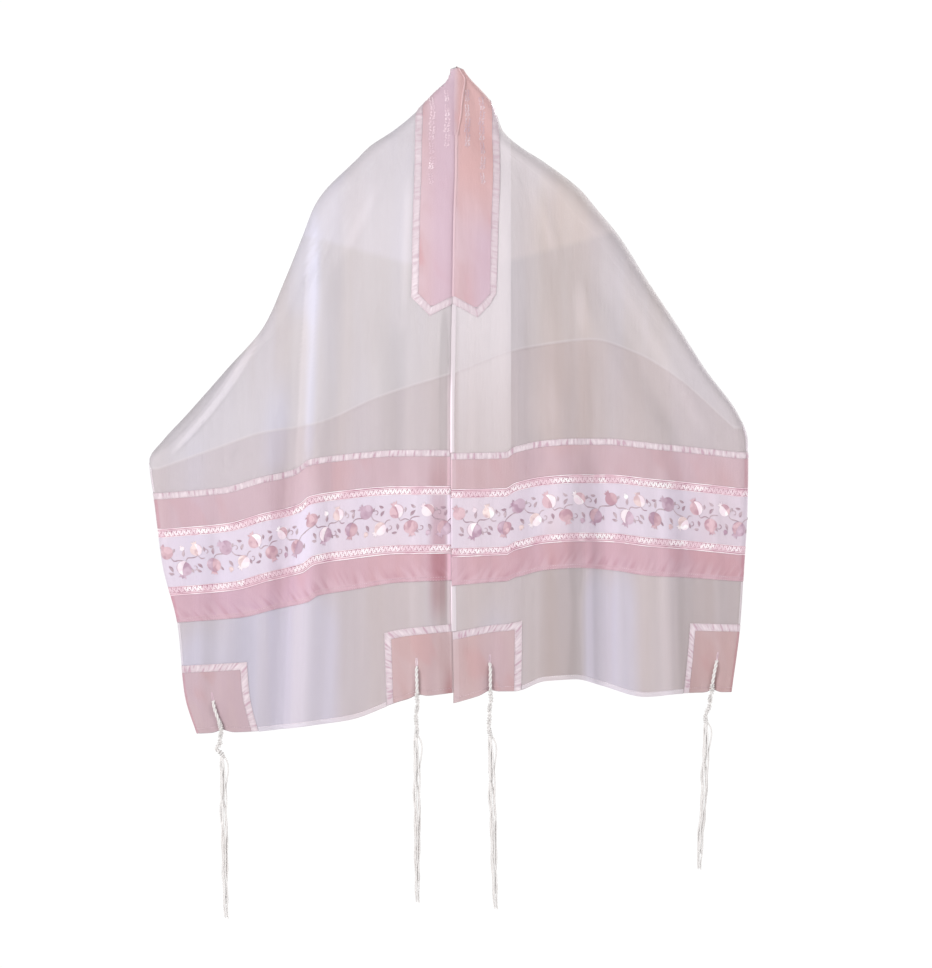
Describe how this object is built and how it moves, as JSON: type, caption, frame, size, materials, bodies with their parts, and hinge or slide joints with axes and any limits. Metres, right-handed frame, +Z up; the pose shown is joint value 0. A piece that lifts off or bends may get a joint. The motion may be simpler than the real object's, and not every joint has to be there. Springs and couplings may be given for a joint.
{
  "type": "tallit prayer shawl",
  "caption": "Sheer tallit prayer shawl hanging in a hollow draped form, with pink bands, pomegranate embroidery, ribbon-edged corner squares, atarah and corner tassels.",
  "frame": {"origin": "underside of the peak, at the middle of the neck edge, where the shawl is held", "axes": "+X to the right as seen from the front, -Y to the front, +Z up"},
  "size_m": [0.9268, 0.2014, 1.3213],
  "materials": {
    "chiffon": "sheer",
    "pink_voile": "matte",
    "embroidered_voile": "matte",
    "woven_trim": "satin",
    "satin": "satin",
    "wool_cord": "matte"
  },
  "bodies": {
    "root": {"atarah": "pink_voile", "atarah_ribbon": "satin", "left_band_ribbon": "satin", "left_embroidered_band": "embroidered_voile", "left_inner_corner_ribbon": "satin", "left_inner_corner_square": "pink_voile", "left_lower_pink_band": "pink_voile", "left_lower_trim": "woven_trim", "left_outer_corner_ribbon": "satin", "left_outer_corner_square": "pink_voile", "left_upper_pink_band": "pink_voile", "left_upper_trim": "woven_trim", "right_band_ribbon": "satin", "right_embroidered_band": "embroidered_voile", "right_inner_corner_ribbon": "satin", "right_inner_corner_square": "pink_voile", "right_lower_pink_band": "pink_voile", "right_lower_trim": "woven_trim", "right_outer_corner_ribbon": "satin", "right_outer_corner_square": "pink_voile", "right_upper_pink_band": "pink_voile", "right_upper_trim": "woven_trim", "shawl_cloth": "chiffon", "tassel_left_inner": "wool_cord", "tassel_left_outer": "wool_cord", "tassel_right_inner": "wool_cord", "tassel_right_outer": "wool_cord"}
  },
  "joints": []
}
